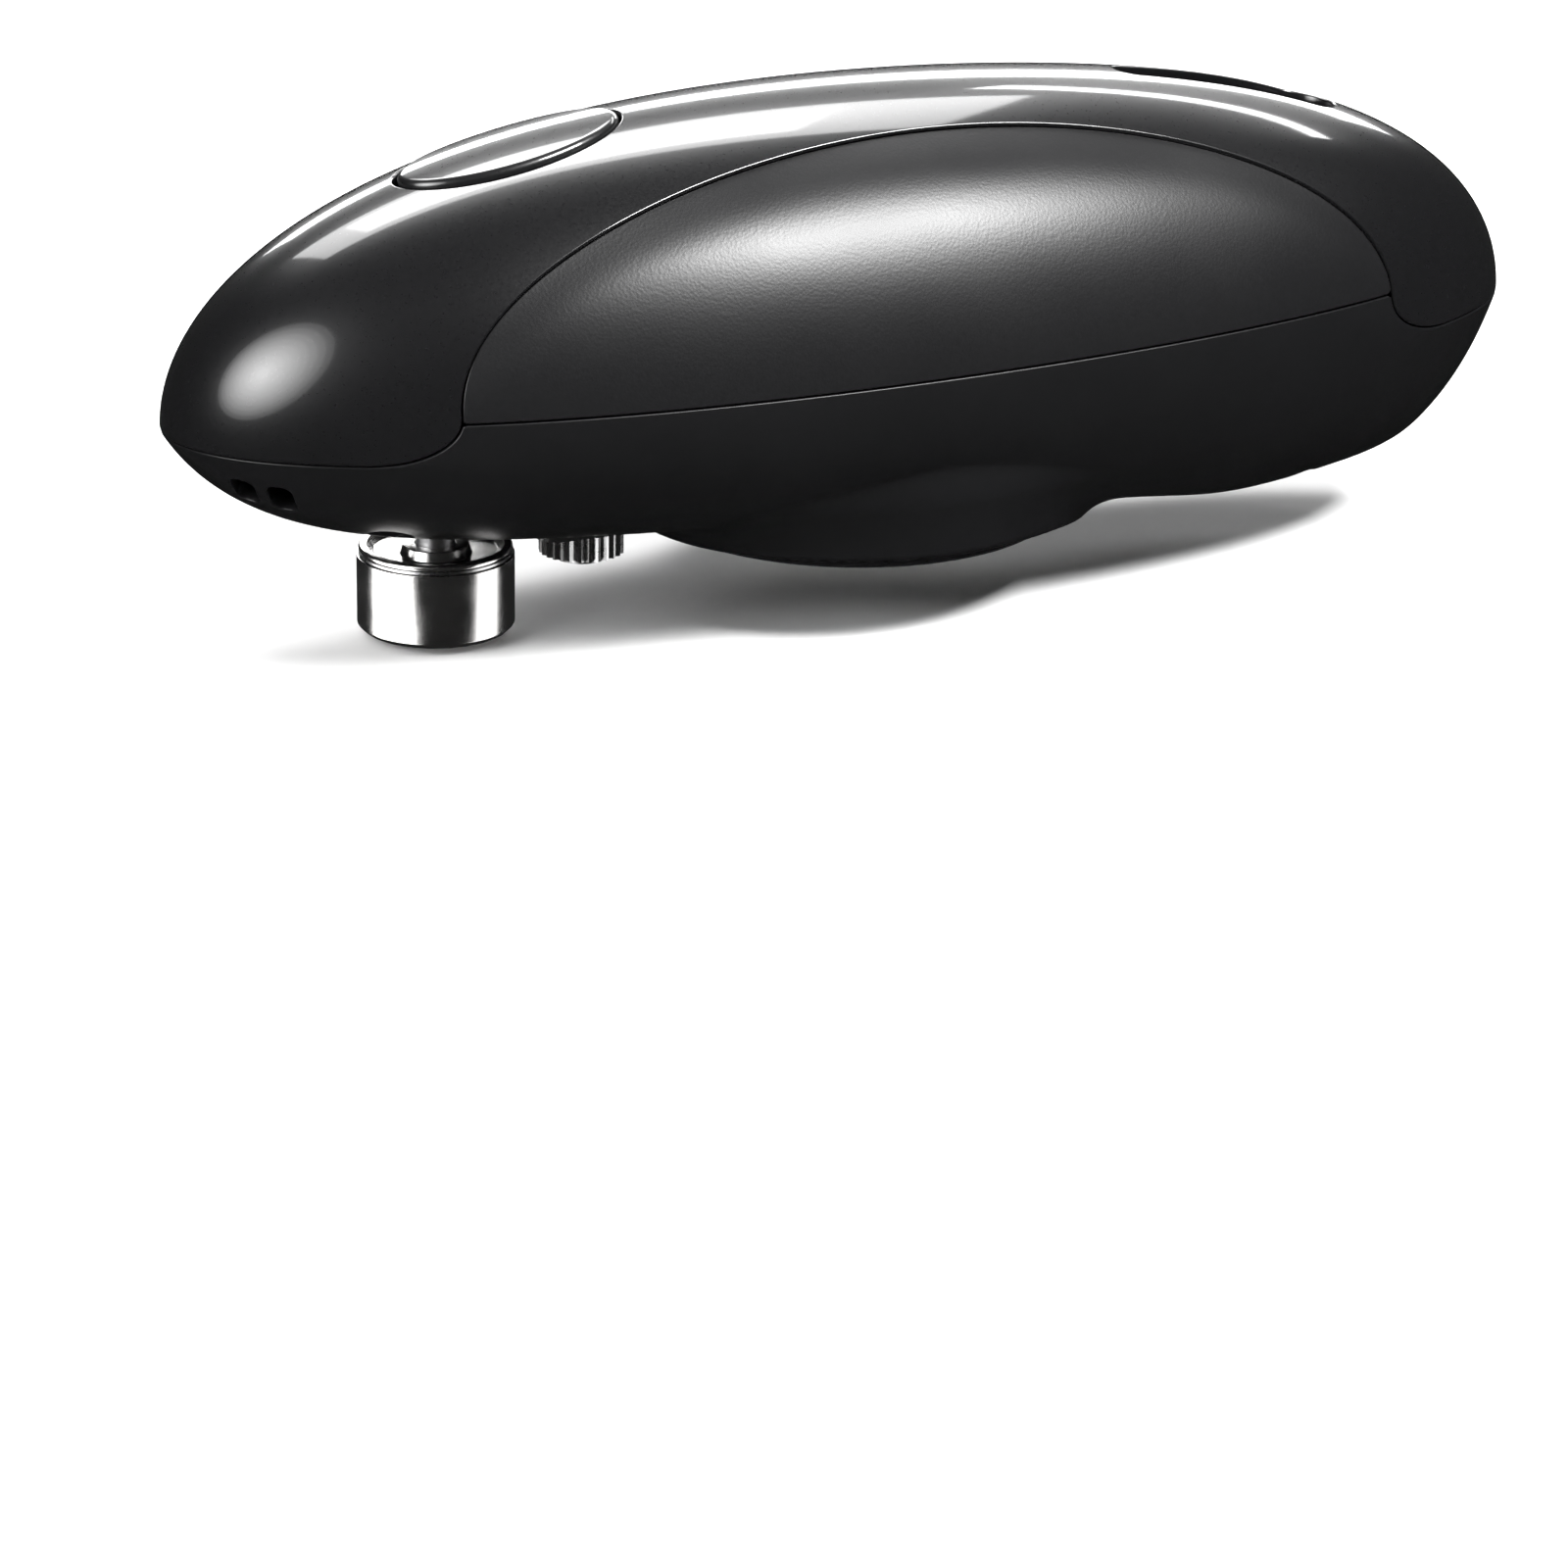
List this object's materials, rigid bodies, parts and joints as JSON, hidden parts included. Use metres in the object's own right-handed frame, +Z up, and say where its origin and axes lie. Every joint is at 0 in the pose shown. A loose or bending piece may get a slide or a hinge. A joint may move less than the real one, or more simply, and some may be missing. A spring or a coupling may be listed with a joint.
{
  "type": "electric can opener",
  "caption": "Hand-held one-touch can opener: rounded shell with a press button, sprung swing-arm cutting roller, knurled feed wheel and geared motor drive.",
  "frame": {"origin": "on the plane where a can's rim seats against the flat of the belly, at the middle of the body in length and width", "axes": "+X from the nose (the cutter end) to the tail (the charging port), +Y across to the right of a user looking from the tail to the nose, +Z up through the dome"},
  "size_m": [0.19, 0.0656, 0.0664],
  "materials": {
    "gloss_black": "piano gloss",
    "textured_black": "matte with a fine pebble grain",
    "matte_black": "satin",
    "button_black": "gloss",
    "smoked_window": "smoked, dark",
    "clear_plastic": "clear moulded",
    "roller_steel": "turned and brushed",
    "cutting_steel": "hardened, ground",
    "plain_steel": "satin",
    "spring_steel": "drawn wire",
    "gear_brass": "cut",
    "gear_nylon": "moulded nylon",
    "motor_steel": "plated",
    "inner_plastic": "moulded",
    "board_green": "solder mask",
    "component_black": "moulded",
    "cell_wrap": "shrink wrap",
    "socket_steel": "plated",
    "magnet_nickel": "nickel plated"
  },
  "bodies": {
    "housing": {"arm_pivot_pin": "plain_steel", "arm_spring": "spring_steel", "board_parts": "component_black", "button_spring": "spring_steel", "case_screw_1": "plain_steel", "case_screw_2": "plain_steel", "case_screw_3": "plain_steel", "case_screw_4": "plain_steel", "cell": "cell_wrap", "cell_contact_front": "spring_steel", "cell_contact_rear": "spring_steel", "cell_holder": "inner_plastic", "charge_socket": "socket_steel", "control_board": "board_green", "gearbox_bridge": "plain_steel", "gearbox_pillar_1": "plain_steel", "gearbox_pillar_2": "plain_steel", "gearbox_pillar_3": "plain_steel", "gearbox_pillar_4": "plain_steel", "gearbox_plate": "plain_steel", "indicator_led": "clear_plastic", "indicator_window": "smoked_window", "lay_pin_a": "plain_steel", "lay_pin_b": "plain_steel", "light_pipe": "clear_plastic", "lower_shell": "matte_black", "magnet_spring": "spring_steel", "motor_case": "motor_steel", "motor_end_cap": "inner_plastic", "pedestal_disc": "gloss_black", "side_panel_left": "textured_black", "side_panel_right": "textured_black", "socket_board": "board_green", "switch_bracket": "inner_plastic", "tact_switch": "inner_plastic", "top_cover": "gloss_black", "wear_plate": "cutting_steel"},
    "button": {"start_button": "button_black"},
    "drive": {"drive_shaft": "plain_steel", "drive_gear": "gear_nylon", "feed_wheel": "cutting_steel", "feed_screw": "plain_steel"},
    "layshaft_b": {"layshaft_b": "gear_nylon"},
    "layshaft_a": {"layshaft_a": "gear_nylon"},
    "motor_rotor": {"motor_shaft": "plain_steel", "motor_pinion": "gear_brass"},
    "arm": {"swing_arm": "plain_steel", "roller_shaft": "plain_steel", "roller_nut": "plain_steel", "roller_screw": "plain_steel"},
    "roller": {"roller_drum": "roller_steel", "cutter_disc": "cutting_steel"},
    "magnet": {"magnet_cup": "motor_steel", "lid_magnet": "magnet_nickel"}
  },
  "joints": [
    {"name": "button_press", "type": "slide", "parent": "housing", "child": "button", "axis": [0, 0, -1], "range_m": [0, 0.0012], "stiffness_N_per_m": 900, "springref_m": -0.0012, "deforming": ["button_spring"]},
    {"name": "drive_spin", "type": "hinge", "parent": "housing", "child": "drive", "pos_m": [-0.0393, 0, 0.014], "axis": [0, 0, 1], "continuous": true},
    {"name": "layshaft_b_spin", "type": "hinge", "parent": "housing", "child": "layshaft_b", "pos_m": [-0.0219, -0.00811, 0.014], "axis": [0, 0, 1], "continuous": true},
    {"name": "layshaft_a_spin", "type": "hinge", "parent": "housing", "child": "layshaft_a", "pos_m": [-0.00995, 0.00191, 0.014], "axis": [0, 0, 1], "continuous": true},
    {"name": "motor_spin", "type": "hinge", "parent": "housing", "child": "motor_rotor", "pos_m": [0.00335, -0.00043, 0.014], "axis": [0, 0, 1], "continuous": true},
    {"name": "arm_swing", "type": "hinge", "parent": "housing", "child": "arm", "pos_m": [-0.0595, 0.011, 0.0079], "axis": [0, 0, 1], "range_deg": [0, 18.55], "stiffness_Nm_per_rad": 0.05, "springref_deg": -11.46},
    {"name": "roller_spin", "type": "hinge", "parent": "arm", "child": "roller", "pos_m": [-0.0595, 0, -0.006], "axis": [0, 0, 1], "continuous": true},
    {"name": "magnet_slide", "type": "slide", "parent": "housing", "child": "magnet", "axis": [0, 0, 1], "range_m": [0, 0.002], "stiffness_N_per_m": 150, "springref_m": -0.001, "deforming": ["magnet_spring"]}
  ],
  "couplings": [
    {"joint": "layshaft_b_spin", "follows": "drive_spin", "ratio": -3},
    {"joint": "layshaft_a_spin", "follows": "drive_spin", "ratio": 10},
    {"joint": "motor_spin", "follows": "drive_spin", "ratio": -35}
  ]
}
